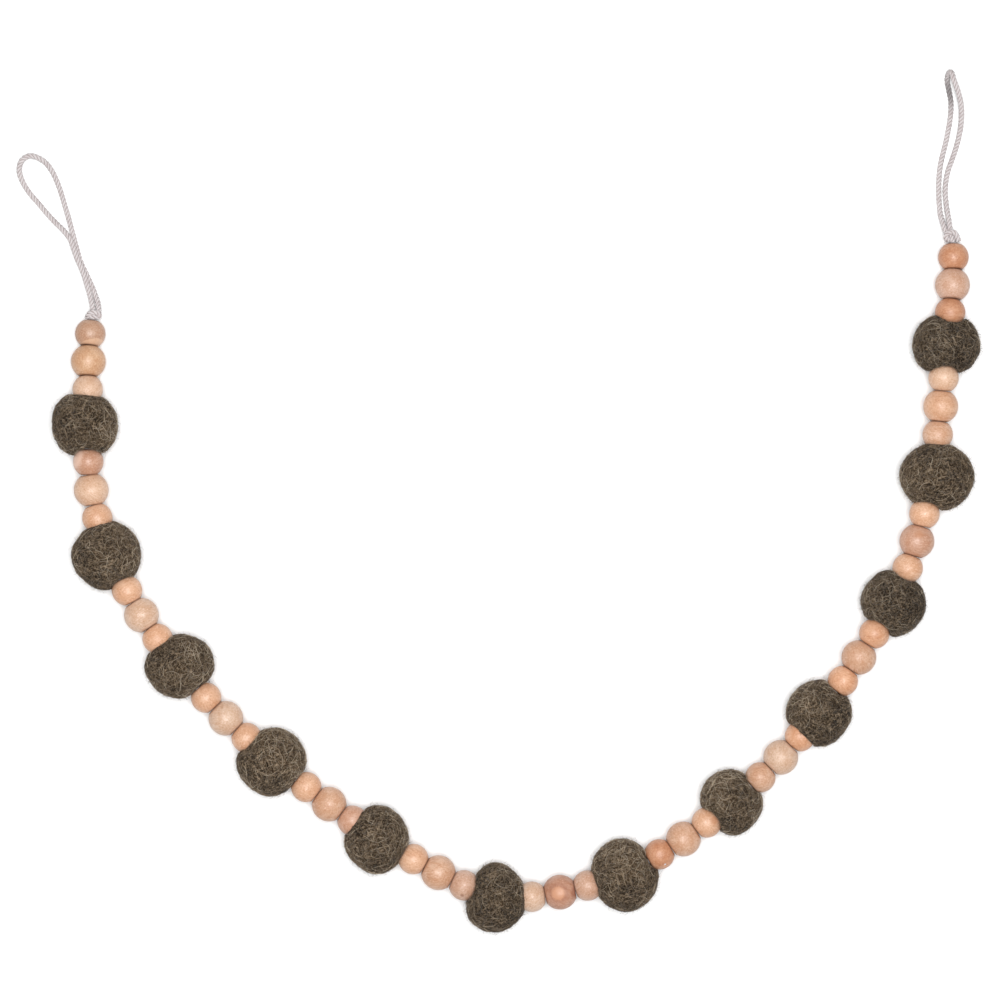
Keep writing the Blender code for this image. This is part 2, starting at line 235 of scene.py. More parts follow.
def grid_faces(rows, columns, closed):
    """Quads from each ring of points to the next and, if closed, from the last to the first."""
    faces = []
    for row in range(rows if closed else rows - 1):
        following = (row + 1) % rows
        for column in range(columns):
            right = (column + 1) % columns
            faces.append((row * columns + column, row * columns + right,
                          following * columns + right, following * columns + column))
    return faces


def stand_for(piece, node_name):
    """Hide a CAD node and put the piece that takes its place on the root body."""
    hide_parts(node_name)
    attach(piece, "root")


def transported_frames(points):
    """Two normals along a polyline, turned as little as possible."""
    points = np.asarray(points, float)
    tangents = np.gradient(points, axis=0)
    tangents /= np.linalg.norm(tangents, axis=1, keepdims=True)
    normal = np.cross(tangents[0], (0.0, 0.0, 1.0))
    if np.linalg.norm(normal) < 0.2:
        normal = np.cross(tangents[0], (1.0, 0.0, 0.0))
    normals = []
    for tangent in tangents:
        normal = normal - tangent * normal.dot(tangent)
        normal = normal / np.linalg.norm(normal)
        normals.append(normal)
    normals = np.array(normals)
    return normals, np.cross(tangents, normals)


def fibre_tubes(lines, normals, radii):
    """Closed three-sided tubes for many lines at once.

    lines and normals are (fibre, point, axis) arrays and radii is (fibre, point).
    """
    count, length, _ = lines.shape
    tangents = np.gradient(lines, axis=1)
    tangents /= np.linalg.norm(tangents, axis=2, keepdims=True) + 1e-12
    side = np.cross(tangents, normals)
    side /= np.linalg.norm(side, axis=2, keepdims=True) + 1e-12
    up = np.cross(side, tangents)
    angles = np.array([0.5, 0.5 + 2.0 / 3.0, 0.5 + 4.0 / 3.0]) * math.pi
    ring = np.cos(angles)[None, None, :, None] * side[:, :, None]
    ring = ring + np.sin(angles)[None, None, :, None] * up[:, :, None]
    vertices = (lines[:, :, None] + ring * radii[:, :, None, None]).reshape(-1, 3)
    base = np.arange(count)[:, None, None] * length * 3
    rows = np.arange(length - 1)[None, :, None] * 3
    here = np.arange(3)[None, None, :]
    there = (here + 1) % 3
    low, high = base + rows, base + rows + 3
    corners = [low + here, low + there, high + there, high + here]
    quads = np.stack(np.broadcast_arrays(*corners), axis=-1).reshape(-1, 4)
    first = np.arange(count)[:, None] * length * 3
    starts = first + np.array([[2, 1, 0]])
    ends = first + (length - 1) * 3 + np.array([[0, 1, 2]])
    return vertices, quads, np.concatenate([starts, ends])


def add_fibres(name, lines, normals, radii, materials, choices):
    """One object of many fine fibres, each in one of the materials."""
    vertices, quads, caps = fibre_tubes(lines, normals, radii)
    length = lines.shape[1]
    mesh = bpy.data.meshes.new(name)
    sizes = np.concatenate([np.full(len(quads), 4), np.full(len(caps), 3)])
    corners = np.concatenate([quads.ravel(), caps.ravel()])
    mesh.vertices.add(len(vertices))
    mesh.vertices.foreach_set("co", vertices.astype(np.float32).ravel())
    mesh.loops.add(len(corners))
    mesh.loops.foreach_set("vertex_index", corners.astype(np.int32))
    mesh.polygons.add(len(sizes))
    starts = np.concatenate([[0], np.cumsum(sizes)[:-1]])
    mesh.polygons.foreach_set("loop_start", starts.astype(np.int32))
    mesh.polygons.foreach_set("use_smooth", np.ones(len(sizes), dtype=bool))
    for material in materials:
        mesh.materials.append(material)
    per_quad = np.repeat(choices, (length - 1) * 3)
    indices = np.concatenate([per_quad, choices, choices]).astype(np.int32)
    mesh.polygons.foreach_set("material_index", indices)
    return link_object(name, mesh)


# ---------------------------------------------------------------- materials
def new_material(name):
    """A material, its node tree and its shader node."""
    material = bpy.data.materials.new(name)
    material.use_nodes = True
    return material, material.node_tree, material.node_tree.nodes["Principled BSDF"]


def set_inputs(node, values):
    """Set a node's inputs, given by name."""
    for name, value in values.items():
        node.inputs[name].default_value = value


def math_node(tree, operation, first, second=None, third=None, clamp=False):
    """A Math node; each value is a socket or a number."""
    node = tree.nodes.new("ShaderNodeMath")
    node.operation = operation
    node.use_clamp = clamp
    for slot, value in zip(node.inputs, (first, second, third)):
        if value is None:
            continue
        if isinstance(value, (int, float)):
            slot.default_value = value
        else:
            tree.links.new(value, slot)
    return node.outputs[0]


def mix_colour(tree, factor, first, second):
    """A colour between two others; each value is a socket, a number or a colour."""
    node = tree.nodes.new("ShaderNodeMix")
    node.data_type = "RGBA"
    for slot, value in ((0, factor), (6, first), (7, second)):
        if isinstance(value, (int, float, list)):
            node.inputs[slot].default_value = value
        else:
            tree.links.new(value, node.inputs[slot])
    return node.outputs[2]


def noise_node(tree, vector, scale, detail=2.0, roughness=0.5, distortion=0.0):
    node = tree.nodes.new("ShaderNodeTexNoise")
    set_inputs(node, {"Scale": scale, "Detail": detail, "Roughness": roughness,
                      "Distortion": distortion})
    tree.links.new(vector, node.inputs["Vector"])
    return node.outputs[0]


def mapped(tree, vector, scale=(1.0, 1.0, 1.0), location=(0.0, 0.0, 0.0)):
    node = tree.nodes.new("ShaderNodeMapping")
    set_inputs(node, {"Scale": scale, "Location": location})
    tree.links.new(vector, node.inputs["Vector"])
    return node.outputs[0]


def range_node(tree, value, low, high, to_low=0.0, to_high=1.0):
    """A smooth step of the value from one range to another."""
    node = tree.nodes.new("ShaderNodeMapRange")
    node.interpolation_type = "SMOOTHSTEP"
    tree.links.new(value, node.inputs["Value"])
    for slot, number in zip(node.inputs[1:5], (low, high, to_low, to_high)):
        slot.default_value = number
    return node.outputs[0]


def bump_node(tree, height, strength, distance):
    node = tree.nodes.new("ShaderNodeBump")
    set_inputs(node, {"Strength": strength, "Distance": distance})
    tree.links.new(height, node.inputs["Height"])
    return node.outputs[0]


def attribute_node(tree, name):
    node = tree.nodes.new("ShaderNodeAttribute")
    node.attribute_name = name
    return node.outputs


def tinted(colour, red, green, blue):
    """The colour with each channel multiplied, as linear RGBA."""
    return linear([colour[0] * red, colour[1] * green, colour[2] * blue])


# How a bead's colour changes, channel by channel: in its pale flecks, its darker grain,
# its pores, and the painted shade on its flat ends, where the beads meet.
WOOD_LIGHT = (1.08, 1.12, 1.17)
WOOD_DARK = (0.88, 0.77, 0.66)
WOOD_DEEP = (0.70, 0.56, 0.45)
WOOD_END_SHADE = (0.52, 0.38, 0.30)
WOOD_END_SHADE_SHARE = 0.75
RING_BEND = 7.0
RINGS_PER_RADIAN = 1.9
HEART_AWAY = 14.0


def wood_material(name, colour, rings_share, streak_share, patch_share, seed, marks_and_highlight):
    """Fine-pored turned wood in the bead's own coordinates, in millimetres.

    "grain" holds the place in the plank the bead was cut from, with the grain
    along Z, and "place" the place on the bead: right, up, forward.
    """
    material, tree, shader = new_material(name)
    plank = attribute_node(tree, "grain")["Vector"]
    # Growth rings round a heart off to one side, bent by slow noise.
    slow = noise_node(tree, mapped(tree, plank, (0.12, 0.12, 0.05)), 1.0, 2.0)
    separate = tree.nodes.new("ShaderNodeSeparateXYZ")
    tree.links.new(plank, separate.inputs[0])
    across = math_node(tree, "ADD", separate.outputs[0], HEART_AWAY + seed % 7)
    square_x = math_node(tree, "MULTIPLY", across, across)
    square_y = math_node(tree, "MULTIPLY", separate.outputs[1], separate.outputs[1])
    radius = math_node(tree, "SQRT", math_node(tree, "ADD", square_x, square_y))
    bent = math_node(tree, "MULTIPLY_ADD", slow, RING_BEND, radius)
    wave = math_node(tree, "SINE", math_node(tree, "MULTIPLY", bent, RINGS_PER_RADIAN))
    rings = range_node(tree, wave, 0.0, 1.0, 0.0, rings_share)
    # Long fibres along the grain, short dark pores and pale flecks.
    fibres = noise_node(tree, mapped(tree, plank, (1.3, 1.3, 0.22)), 1.0, 4.0, 0.62)
    streaks = range_node(tree, fibres, 0.46, 0.62, 0.0, streak_share)
    pores = noise_node(tree, mapped(tree, plank, (1.7, 1.7, 1.0)), 1.0, 3.0, 0.75)
    flecks = range_node(tree, pores, 0.53, 0.70, 0.0, 0.55)
    pale = range_node(tree, pores, 0.46, 0.33, 0.0, 0.75)
    blotch = noise_node(tree, mapped(tree, plank, (0.16, 0.16, 0.1)), 1.0, 2.0)
    patches = range_node(tree, blotch, 0.38, 0.62, 0.0, patch_share)
    dark = tinted(colour, *WOOD_DARK)
    base = mix_colour(tree, patches, linear(colour), dark)
    base = mix_colour(tree, rings, base, dark)
    base = mix_colour(tree, streaks, base, dark)
    base = mix_colour(tree, pale, base, tinted(colour, *WOOD_LIGHT))
    base = mix_colour(tree, flecks, base, tinted(colour, *WOOD_DEEP))
    spot = attribute_node(tree, "place")["Vector"]
    ragged = math_node(tree, "MULTIPLY_ADD", pores, 1.4, -0.7)
    # Marks in the wood, and bead 1's painted highlight, each blended in round its place.
    for _, right, up, forward, reach, edge, mark_or_highlight_colour, share in marks_and_highlight:
        away = tree.nodes.new("ShaderNodeVectorMath")
        away.operation = "DISTANCE"
        tree.links.new(spot, away.inputs[0])
        away.inputs[1].default_value = (right, up, forward)
        distance = away.outputs["Value"]
        distance = math_node(tree, "MULTIPLY_ADD", ragged, min(edge, 1.5), distance)
        near, far = reach - edge / 2.0, reach + edge / 2.0
        inside = range_node(tree, distance, near, far, share, 0.0)
        base = mix_colour(tree, inside, base, linear(mark_or_highlight_colour))
    # Painted shade on each flat end and its eased edge, where one bead meets the next.
    ends = attribute_node(tree, "painted_end_shade")["Fac"]
    end_shade_share = math_node(tree, "MULTIPLY", ends, WOOD_END_SHADE_SHARE)
    base = mix_colour(tree, end_shade_share, base, tinted(colour, *WOOD_END_SHADE))
    tree.links.new(base, shader.inputs["Base Color"])
    rough = range_node(tree, fibres, 0.3, 0.7, 0.40, 0.52)
    tree.links.new(rough, shader.inputs["Roughness"])
    set_inputs(shader, {"Specular IOR Level": 0.55})
    height = math_node(tree, "MULTIPLY_ADD", flecks, -1.2, fibres)
    tree.links.new(bump_node(tree, height, 0.35, 0.00012), shader.inputs["Normal"])
    return material


FELT_PORE_SHADE = (15, 11, 7)
FELT_DARK = (37, 28, 19)
FELT_MID = (69, 55, 40)
FELT_LINE = (142, 124, 103)
FELT_SHEEN = (170, 148, 120)
# Noise scales, per metre: broad mottle, pores, and the wool fibres with how long they are drawn.
FELT_MOTTLE_SCALE = 230.0
FELT_PORE_SCALE = 620.0
FELT_LINE_SCALE = 1350.0
FELT_LINE_STRETCH = 12.0
FELT_PORE_SHARE = 0.9
FELT_LINE_SHARE = 0.75
# Ways the surface wool lies: the turn of each layer about X and Z, in degrees.
WOOL_LAYERS = (
    (0.0, 0.0), (90.0, 20.0), (90.0, 75.0), (50.0, 130.0), (130.0, 160.0), (90.0, 110.0),
)


def felt_material(name, seed, lightness):
    """Matted wool: dark and light places and painted rim light from "tone", painted shade in the
    pores, layers of fibres.
    """
    material, tree, shader = new_material(name)
    coordinates = tree.nodes.new("ShaderNodeTexCoord")
    place = mapped(tree, coordinates.outputs["Object"], location=(seed * 0.31, 0.0, 0.0))
    tone = attribute_node(tree, "tone")["Fac"]
    mottle = noise_node(tree, place, FELT_MOTTLE_SCALE, 3.0, 0.6)
    mottled = math_node(tree, "MULTIPLY_ADD", mottle, 1.2, -0.6)
    patches = math_node(tree, "ADD", tone, mottled, clamp=True)
    pore_shade, dark_tone, mid_tone, line_tone = [
        tinted(colour, lightness, lightness, lightness)
        for colour in (FELT_PORE_SHADE, FELT_DARK, FELT_MID, FELT_LINE)
    ]
    base = mix_colour(tree, patches, dark_tone, mid_tone)
    # Dark pores: painted shade where the felt dips; the bump sinks them too.
    pore_noise = noise_node(tree, place, FELT_PORE_SCALE, 3.0, 0.7, 1.2)
    pores = range_node(tree, pore_noise, 0.50, 0.62, 0.0, FELT_PORE_SHARE)
    base = mix_colour(tree, pores, base, pore_shade)
    total = None
    for turn_x, turn_z in WOOL_LAYERS:
        lying = tree.nodes.new("ShaderNodeMapping")
        lying.vector_type = "TEXTURE"
        set_inputs(lying, {"Rotation": (math.radians(turn_x), 0.0, math.radians(turn_z)),
                           "Scale": (1.0, 1.0, FELT_LINE_STRETCH)})
        tree.links.new(place, lying.inputs["Vector"])
        field = noise_node(tree, lying.outputs[0], FELT_LINE_SCALE, 1.0, 0.5, 0.8)
        lines = range_node(tree, field, 0.615, 0.675)
        line_share = math_node(tree, "MULTIPLY", lines, FELT_LINE_SHARE)
        base = mix_colour(tree, line_share, base, line_tone)
        total = lines if total is None else math_node(tree, "MAXIMUM", total, lines)
    tree.links.new(base, shader.inputs["Base Color"])
    set_inputs(shader, {"Roughness": 0.95, "Specular IOR Level": 0.1, "Sheen Weight": 0.12,
                        "Sheen Roughness": 0.5, "Sheen Tint": linear(FELT_SHEEN)})
    height = math_node(tree, "MULTIPLY_ADD", pores, -0.7, total)
    tree.links.new(bump_node(tree, height, 0.9, 0.0006), shader.inputs["Normal"])
    return material


def fibre_material(name, colour, lightness):
    """One shade of single fibres; a ball's fibres are shared out among several."""
    material, _, shader = new_material(name)
    set_inputs(shader, {"Base Color": tinted(colour, lightness, lightness, lightness),
                        "Roughness": 0.85, "Specular IOR Level": 0.25, "Sheen Weight": 0.2})
    return material


# How the cotton's colour changes in its shaded plies, in the painted shade between the
# strands, and in the painted shadow where a loop is raised over itself.
COTTON_DARK = (0.84, 0.80, 0.80)
COTTON_GROOVE_SHADE = (0.86, 0.83, 0.82)
COTTON_SHADOW = (0.5, 0.5, 0.5)
PLIES = 4.0
PLY_RISE = 0.9


def cord_material(name, colour):
    """Twisted cotton yarn: plies round each strand, painted shade between the strands, and a
    painted shadow where a loop is raised over itself.
    """
    material, tree, shader = new_material(name)
    yarn = tree.nodes.new("ShaderNodeUVMap")
    yarn.uv_map = "yarn"
    separate = tree.nodes.new("ShaderNodeSeparateXYZ")
    tree.links.new(yarn.outputs[0], separate.inputs[0])
    along, around = separate.outputs[0], separate.outputs[1]
    around_plies = math_node(tree, "MULTIPLY", around, -PLIES)
    phase = math_node(tree, "MULTIPLY_ADD", along, PLY_RISE, around_plies)
    ply = math_node(tree, "SINE", math_node(tree, "MULTIPLY", phase, 2.0 * math.pi))
    coordinates = tree.nodes.new("ShaderNodeTexCoord")
    hairs = noise_node(tree, coordinates.outputs["Object"], 2600.0, 3.0, 0.65)
    mottle = noise_node(tree, coordinates.outputs["Object"], 330.0, 2.0)
    dark = tinted(colour, *COTTON_DARK)
    shaded = range_node(tree, ply, 0.2, -0.9, 0.0, 0.3)
    base = mix_colour(tree, shaded, linear(colour), dark)
    mottled = range_node(tree, mottle, 0.42, 0.72, 0.0, 0.4)
    base = mix_colour(tree, mottled, base, dark)
    # Painted shade on the sides of each strand, where it meets the next.
    angle = math_node(tree, "MULTIPLY", around, 2.0 * math.pi)
    groove_shade = range_node(tree, math_node(tree, "COSINE", angle), 0.85, 0.05)
    base = mix_colour(tree, groove_shade, base, tinted(colour, *COTTON_GROOVE_SHADE))
    # Painted shadow where the loop's raised strand shades the one under it.
    painted_shadow = attribute_node(tree, "painted_shadow")["Fac"]
    base = mix_colour(tree, painted_shadow, base, tinted(colour, *COTTON_SHADOW))
    tree.links.new(base, shader.inputs["Base Color"])
    set_inputs(shader, {"Roughness": 0.9, "Specular IOR Level": 0.2})
    height = math_node(tree, "MULTIPLY_ADD", hairs, 0.8, ply)
    tree.links.new(bump_node(tree, height, 0.35, 0.00008), shader.inputs["Normal"])
    return material


# ---------------------------------------------------------------- cord, loops and knots
CORD_LAY = 5.6
STRAND_RADIUS = 0.63
STRAND_OFFSET = 0.68
STRAND_SIDES = 10
STRAND_TIP = 0.75
TAIL_SPREAD = 0.35
CORD_STEP = 0.46
KNOT_STEP = 0.3
KNOT_TURN = 0.2
# Where a loop's cord lies in painted shadow under its raised strand, with the reach along
# the cord and how dark the painted shadow is.
SHADOW_PLACES = {"left": None, "right": (201.2, 228.6, 1.3)}
SHADOW_REACH = 8.0
SHADOW_SHARE = 0.75
CORD_COLOUR = (206, 200, 200)

cotton = cord_material("cotton_cord_look", CORD_COLOUR)


def add_cord(name, path, start_turn=0.0, tail=0, shadow_at=None):
    """Three strands laid up round a path in millimetres, as one mesh with a yarn map.

    The map's u is the way along in millimetres and its v goes once round the
    strand, starting at its outermost line.  Over the last "tail" points the
    strands come apart a little, as at a cut end.  A painted shadow darkens the
    cord round the point given last.
    """
    path = np.asarray(path, float)
    steps = np.linalg.norm(np.diff(path, axis=0), axis=1)
    along = np.concatenate([[0.0], np.cumsum(steps)])
    normals, binormals = transported_frames(path)
    shadow_share = np.zeros(len(path))
    # A painted shadow round the given point, fading along the cord.
    if shadow_at is not None:
        nearest = np.argmin(np.linalg.norm(path - np.array(shadow_at), axis=1))
        shadow_share = SHADOW_SHARE * np.exp(-((along - along[nearest]) / SHADOW_REACH) ** 2)
    spread = np.full(len(path), STRAND_OFFSET)
    if tail:
        spread[-tail:] += np.linspace(0.0, TAIL_SPREAD, tail)
    radii = np.full(len(path), STRAND_RADIUS)
    radii[0] = radii[-1] = STRAND_RADIUS * STRAND_TIP
    ring = np.arange(STRAND_SIDES) * 2.0 * math.pi / STRAND_SIDES
    size = len(path) * STRAND_SIDES
    vertices, faces, maps = [], [], []
    for strand in range(3):
        turn = 2.0 * math.pi * (along / CORD_LAY + strand / 3.0 + start_turn)
        outward = np.cos(turn)[:, None] * normals + np.sin(turn)[:, None] * binormals
        middle = path + outward * spread[:, None]
        heading = np.gradient(middle, axis=0)
        heading /= np.linalg.norm(heading, axis=1, keepdims=True)
        outward -= heading * (outward * heading).sum(axis=1)[:, None]
        outward /= np.linalg.norm(outward, axis=1, keepdims=True)
        beside = np.cross(heading, outward)
        round_it = np.cos(ring)[None, :, None] * outward[:, None]
        round_it = round_it + np.sin(ring)[None, :, None] * beside[:, None]
        vertices.append((middle[:, None] + round_it * radii[:, None, None]).reshape(-1, 3))
        offset = strand * size
        for face in grid_faces(len(path), STRAND_SIDES, closed=False):
            faces.append([offset + corner for corner in face])
        for near, far in zip(along, along[1:]):
            for column in range(STRAND_SIDES):
                low, high = column / STRAND_SIDES, (column + 1) / STRAND_SIDES
                maps += [(near, low), (near, high), (far, high), (far, low)]
        faces.append(list(range(offset + STRAND_SIDES - 1, offset - 1, -1)))
        faces.append(list(range(offset + size - STRAND_SIDES, offset + size)))
        maps += [(0.0, 0.0)] * (2 * STRAND_SIDES)
    thing = add_mesh(name, np.concatenate(vertices) * MM, faces, cotton)
    layer = thing.data.uv_layers.new(name="yarn")
    layer.data.foreach_set("uv", np.array(maps, np.float32).ravel())
    add_attribute(thing.data, "painted_shadow", np.tile(np.repeat(shadow_share, STRAND_SIDES), 3))
    return thing


# Each knot as it is tied: (right, towards the loop, up) from its middle, in millimetres.
KNOT_PATHS = {
    "left": (
        (-2.1, -1.2, -1.2), (-2.0, -1.0, 0.1), (-1.4, -0.1, 1.2), (-0.3, 0.6, 1.9),
        (1.1, 0.8, 2.1), (2.4, 0.5, 1.8), (3.2, -0.2, 1.3), (3.2, -1.0, 0.9),
        (2.2, -1.25, 1.1), (0.8, -1.2, 1.3), (-0.5, -1.1, 0.8), (-1.3, -0.9, -0.4),
    ),
    "right": (
        (0.4, -2.1, -1.4), (-1.0, -2.2, -0.8), (-2.3, -1.7, 0.2), (-2.7, -0.3, 1.0),
        (-2.0, 1.0, 1.5), (-0.5, 1.6, 1.8), (1.0, 1.2, 2.0), (2.0, 0.0, 1.8),
        (2.4, -1.2, 1.4), (2.9, -2.1, 1.0), (3.2, -2.5, 0.9),
    ),
}
# Where the loop's far end goes in under the knot.
LOOP_TUCKS = {
    "left": ((-192.6, 127.2, 4.4), (-192.9, 125.6, 4.9)),
    "right": ((198.4, 165.0, 5.6), (199.2, 163.4, 5.8)),
}

for side_name, end_point, inner_point, loop in (
    ("left", joints[0], joints[1], LEFT_LOOP),
    ("right", joints[-1], joints[-2], RIGHT_LOOP),
):
    heading, standoff, turns, tail = KNOTS[side_name]
    way = Matrix.Rotation(math.radians(heading), 3, "Z") @ (end_point - inner_point).normalized()
    half_knot = (KNOT_PITCH * turns + KNOT_TUBE_DIAMETER) / 2.0
    centre = end_point + way * (PIECE_GAP + standoff + half_knot)
    through = centre + way * (half_knot + PIECE_GAP)
    centreline = [end_point + way * LOOP_START]
    centreline += smooth_through([through, *loop, *LOOP_TUCKS[side_name]], LOOP_STEPS)
    path = even_points(centreline, CORD_STEP)
    knot_points = [centre + Vector(point) for point in KNOT_PATHS[side_name]]
    wraps = even_points(smooth_through(knot_points, LOOP_STEPS), KNOT_STEP)
    knot = add_cord("wrapped_knot_" + side_name, wraps, KNOT_TURN, tail)
    stand_for(knot, "knot_" + side_name)
    loop_piece = add_cord("hanging_loop_" + side_name, path, shadow_at=SHADOW_PLACES[side_name])
    stand_for(loop_piece, "loop_" + side_name)


STRING_DARK = (0.78, 0.78, 0.78)


def string_material(name, colour):
    """The same cotton on the string inside the beads, which has no yarn map."""
    material, tree, shader = new_material(name)
    coordinates = tree.nodes.new("ShaderNodeTexCoord")
    plies = noise_node(tree, coordinates.outputs["Object"], 900.0, 3.0, 0.6)
    dark = tinted(colour, *STRING_DARK)
    shade = range_node(tree, plies, 0.4, 0.65)
    tree.links.new(mix_colour(tree, shade, linear(colour), dark), shader.inputs["Base Color"])
    set_inputs(shader, {"Roughness": 0.9})
    tree.links.new(bump_node(tree, plies, 0.5, 0.0002), shader.inputs["Normal"])
    return material


string_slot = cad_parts["string_cord"].material_slots[0]
string_slot.material = string_material("cotton_string_look", CORD_COLOUR)


# ---------------------------------------------------------------- wooden beads
BEAD_SIDES = 34
END_SHADE_REACH = 0.9
END_SHADE_RIM = 0.1
BEAD_GAP = 0.3
BEAD_HOLE = 1.5
BEAD_ARC_STEPS = 11
BEAD_EDGE = 0.28
PLANK_SPREAD = 40.0
LIFT_RANGE = (0.985, 1.015)
# Each tone: colour, then the shares of growth rings, streaks and broad patches.
WOOD = {
    "honey": ((206, 167, 134), 0.20, 0.45, 0.40),
    "cream": ((209, 175, 149), 0.12, 0.35, 0.30),
    "pale": ((207, 177, 154), 0.12, 0.40, 0.35),
    "almond": ((200, 165, 144), 0.15, 0.45, 0.45),
    "peach": ((213, 171, 141), 0.15, 0.45, 0.40),
    "tan": ((203, 165, 139), 0.25, 0.55, 0.50),
    "rosy": ((195, 154, 131), 0.15, 0.50, 0.50),
    "brown": ((186, 144, 123), 0.35, 0.50, 0.60),
    "orange": ((210, 163, 131), 0.20, 0.50, 0.45),
    "rust": ((194, 144, 113), 0.30, 0.55, 0.50),
    "sand": ((188, 152, 128), 0.20, 0.50, 0.45),
}
# The tone of each bead from the left end, three to a row as they are strung.
BEADS = (
    "sand", "honey", "cream",
    "rosy", "cream", "peach",
    "peach", "pale", "peach",
    "peach", "pale", "peach",
    "peach", "tan", "rosy",
    "peach", "tan", "almond",
    "pale", "brown", "almond",
    "rust", "tan", "peach",
    "tan", "pale", "orange",
    "orange", "tan", "orange",
    "peach", "rosy", "peach",
    "tan", "peach", "cream",
    "rust", "almond", "rust",
)
# Marks in the wood, and bead 1's painted highlight: bead, then right, up and forward of its
# middle and the reach in millimetres, the width of the mark's edge, its colour and how much it
# covers.
MARKS_AND_HIGHLIGHT = (
    # Bead 1's pale patch is a painted highlight.
    (1, 1.5, 2.5, -8.0, 6.6, 0.5, (214, 176, 146), 0.6),
    (4, -6.5, 4.0, 2.0, 5.0, 2.5, (222, 186, 166), 0.8),
    (18, -0.8, 5.6, -4.0, 0.8, 0.8, (130, 84, 60), 0.7),
    (20, -0.8, 7.4, 0.6, 4.6, 1.6, (150, 98, 74), 0.45),
    (20, -1.0, 7.9, 0.2, 3.1, 1.8, (206, 150, 114), 0.6),
    (20, 6.4, 4.0, 0.4, 2.4, 2.0, (132, 74, 56), 0.5),
    (22, 2.4, 5.1, -4.1, 0.5, 0.3, (206, 204, 206), 0.9),
    (24, 3.0, 6.0, 1.5, 1.8, 1.5, (186, 128, 92), 0.6),
    (32, 0.0, 6.5, 3.0, 2.0, 1.5, (186, 132, 98), 0.5),
)


def bead_section(diameter, pitch):
    """(along, radius) pairs round a turned bead's section: a ball cut flat, its edges eased."""
    half = (pitch - BEAD_GAP) / 2.0
    radius = diameter / 2.0
    shoulder = math.asin((half - BEAD_EDGE) / radius)
    edge_radius = radius * math.cos(shoulder)
    section = [(half - 0.4, BEAD_HOLE), (half - 0.05, BEAD_HOLE + 0.12), (half, BEAD_HOLE + 0.4)]
    section += [(half, edge_radius - 0.85), (half - 0.05, edge_radius - 0.35)]
    for step in range(BEAD_ARC_STEPS, -BEAD_ARC_STEPS - 1, -1):
        angle = shoulder * step / BEAD_ARC_STEPS
        section.append((radius * math.sin(angle), radius * math.cos(angle)))
    section += [(-along, across) for along, across in reversed(section[:5])]
    return section


BEAD_SIZES = {"small": (SMALL_DIAMETER, SMALL_PITCH), "large": (LARGE_DIAMETER, LARGE_PITCH)}
bead_number = 0
for link, kind in enumerate(kinds):
    if kind == "felt":
        continue
    bead_number += 1
    start, end = joints[link], joints[link + 1]
    middle = (start + end) / 2.0
    forward, side, up = axis_frame(end - start)
    section = bead_section(*BEAD_SIZES[kind])
    points = []
    for along, across in section:
        for segment in range(BEAD_SIDES):
            angle = 2.0 * math.pi * segment / BEAD_SIDES
            out = side * math.cos(angle) + up * math.sin(angle)
            points.append(tuple(middle + forward * along + out * across))
    points = np.array(points)
    colour, *shares = WOOD[BEADS[bead_number - 1]]
    lift = random.uniform(*LIFT_RANGE)
    own_colour = [channel * lift for channel in colour]
    marks_and_highlight = [mark_or_highlight for mark_or_highlight in MARKS_AND_HIGHLIGHT if mark_or_highlight[0] == bead_number]
    look = wood_material("wood_look_%02d" % bead_number, own_colour, *shares, bead_number, marks_and_highlight)
    faces = grid_faces(len(section), BEAD_SIDES, closed=True)
    bead = add_mesh("turned_bead_%02d" % bead_number, points * MM, faces, look)
    # Where each point lies on the bead, and in the plank it was cut from at some angle.
    place = points - np.array(middle)
    place = place[:, [0, 2, 1]]
    spin = Matrix.Rotation(random.uniform(0.0, 2.0 * math.pi), 3, "Z")
    tilt = Matrix.Rotation(random.uniform(0.9, 1.6), 3, "X")
    plank = place @ np.array(spin @ tilt @ spin) + random.uniform(-PLANK_SPREAD, PLANK_SPREAD, 3)
    # Painted shade: strongest on the flat ends, where the beads meet, fading within a millimetre.
    along = np.abs((points - np.array(middle)) @ np.array(forward))
    from_end = along - max(along) + END_SHADE_REACH
    painted_end_shade = np.clip(from_end / (END_SHADE_REACH - END_SHADE_RIM), 0.0, 1.0) ** 2
    add_attribute(bead.data, "painted_end_shade", painted_end_shade)
    add_attribute(bead.data, "grain", plank)
    add_attribute(bead.data, "place", place)
    node_name = "bead_%02d" % bead_number
    stand_for(bead, node_name)

# ---------------------------------------------------------------- felt balls
FELT_SEGMENTS = 76
FELT_ROWS_AROUND = 40
FELT_CENTRE_HEIGHT = 14.1
FELT_HOLE = 1.7
FELT_PRESS = 0.2
FELT_PRESS_BLEND = 0.9
FELT_END_GAP = 0.1
FELT_END_CORE = math.cos(math.radians(13.0))
FELT_END_RIM = math.cos(math.radians(19.0))
FELT_OPENING_DRAWN = 1.3
FELT_POLE = 0.16
FELT_FARTHEST = 30.0
NEVER = 1000.0
# The lumps on a felt ball: their height and their size.
FELT_LUMPS = ((0.35, 11.0), (0.36, 4.6), (0.16, 2.1))
FUZZ_PER_BALL = 560
FUZZ_POINTS = 4
HAIR_RADII = (0.00004, 0.00006)
SHORTEST_HAIR = 0.0007
HAIR_SPREAD = 0.0021
HAIR_SUNK = 0.0001
# The fibres that lie on each ball: name, number, points, step, curl, highest lift, thinnest
# and thickest, and how far their tones shift to the pale; lengths in metres.
FIBRE_KINDS = (
    ("matted", 1250, 4, 0.0013, 0.30, 0.00022, 0.00005, 0.00009, -0.12),
    ("curled", 720, 7, 0.0012, 0.24, 0.00050, 0.00006, 0.00010, 0.10),
)
LOWEST_LIFT = 0.00004
FIBRE_SUNK = 0.00008
LOWEST_FIBRE = 0.00012
LOWEST_HAIR = 0.0001
ROUND_THE_HOLE = 0.004
FLAT_SPOT = 0.0004
